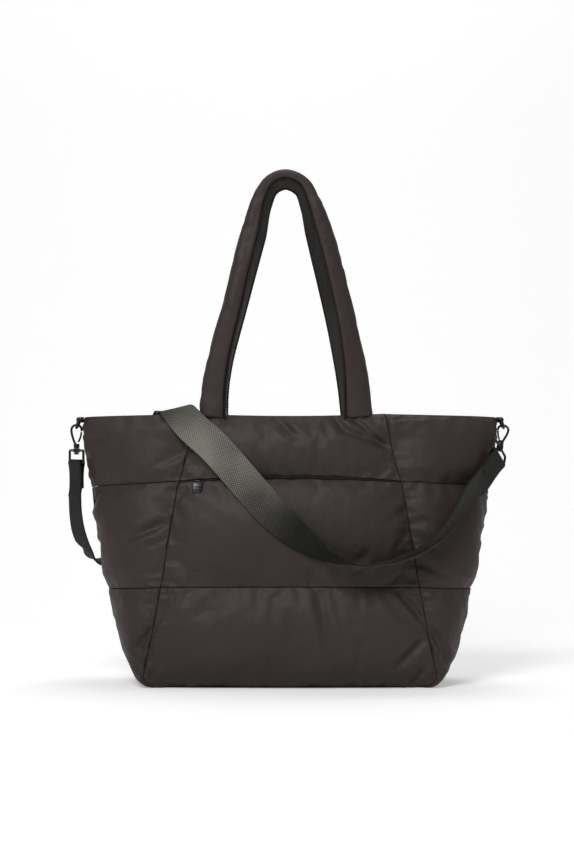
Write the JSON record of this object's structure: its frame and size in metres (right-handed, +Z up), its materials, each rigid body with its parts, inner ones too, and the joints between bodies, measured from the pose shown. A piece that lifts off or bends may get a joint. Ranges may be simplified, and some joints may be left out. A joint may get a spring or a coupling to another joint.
{
  "type": "padded tote bag",
  "caption": "Open-topped tote bag of padded panels with padded carrying handles, a zipped front pocket and a clip-on webbing shoulder strap.",
  "frame": {"origin": "middle of the flat base, on the surface that the bag stands on", "axes": "+Z up, +X to the right of someone who faces the pocket side, which looks along -Y"},
  "size_m": [0.519, 0.2155, 0.5968],
  "materials": {
    "nylon": "dark brown padded nylon with a satin sheen",
    "webbing": "dark olive grey ribbed webbing",
    "metal": "black lacquered metal, semi-gloss",
    "zip_cloth": "near black zip tape"
  },
  "bodies": {
    "root": {"front_lower_centre": "nylon", "front_lower_left": "nylon", "front_lower_right": "nylon", "front_middle_centre": "nylon", "front_middle_left": "nylon", "front_middle_right": "nylon", "front_upper_centre": "nylon", "front_upper_left": "nylon", "front_upper_right": "nylon", "back_lower_centre": "nylon", "back_lower_left": "nylon", "back_lower_right": "nylon", "back_middle_centre": "nylon", "back_middle_left": "nylon", "back_middle_right": "nylon", "back_upper_centre": "nylon", "back_upper_left": "nylon", "back_upper_right": "nylon", "base_panel": "nylon", "zip_tape": "zip_cloth", "zip_slider": "metal", "front_handle": "nylon", "front_handle_webbing": "webbing", "rear_handle": "nylon", "rear_handle_webbing": "webbing", "left_tab": "webbing", "right_tab": "webbing", "left_d_ring": "metal", "right_d_ring": "metal", "left_strap_loop": "metal", "right_strap_loop": "metal", "crossbody_strap": "webbing"},
    "left_snap_hook": {"left_hook": "metal"},
    "left_gate": {"left_hook_gate": "metal"},
    "right_snap_hook": {"right_hook": "metal"},
    "right_gate": {"right_hook_gate": "metal"},
    "pull": {"zip_pull": "metal"}
  },
  "joints": [
    {"name": "left_hook_swivel", "type": "hinge", "parent": "root", "child": "left_snap_hook", "pos_m": [-0.24986, 0, 0.29767], "axis": [0, 0, 1], "range_deg": [-20, 20]},
    {"name": "left_gate_hinge", "type": "hinge", "parent": "left_snap_hook", "child": "left_gate", "pos_m": [-0.24776, 0, 0.28119], "axis": [0, -1, 0], "range_deg": [0, 20], "stiffness_Nm_per_rad": 0.02, "springref_deg": -11.46},
    {"name": "right_hook_swivel", "type": "hinge", "parent": "root", "child": "right_snap_hook", "pos_m": [0.24986, 0, 0.29767], "axis": [0.2079, 0.4891, 0.8471], "range_deg": [-20, 20]},
    {"name": "right_gate_hinge", "type": "hinge", "parent": "right_snap_hook", "child": "right_gate", "pos_m": [0.24438, -0.00784, 0.28409], "axis": [0, 0.866, -0.5], "range_deg": [0, 20], "stiffness_Nm_per_rad": 0.02, "springref_deg": -11.46},
    {"name": "zip_pull_hinge", "type": "hinge", "parent": "root", "child": "pull", "pos_m": [-0.10569, -0.06379, 0.23601], "axis": [-1, 0, 0], "range_deg": [0, 100]}
  ]
}
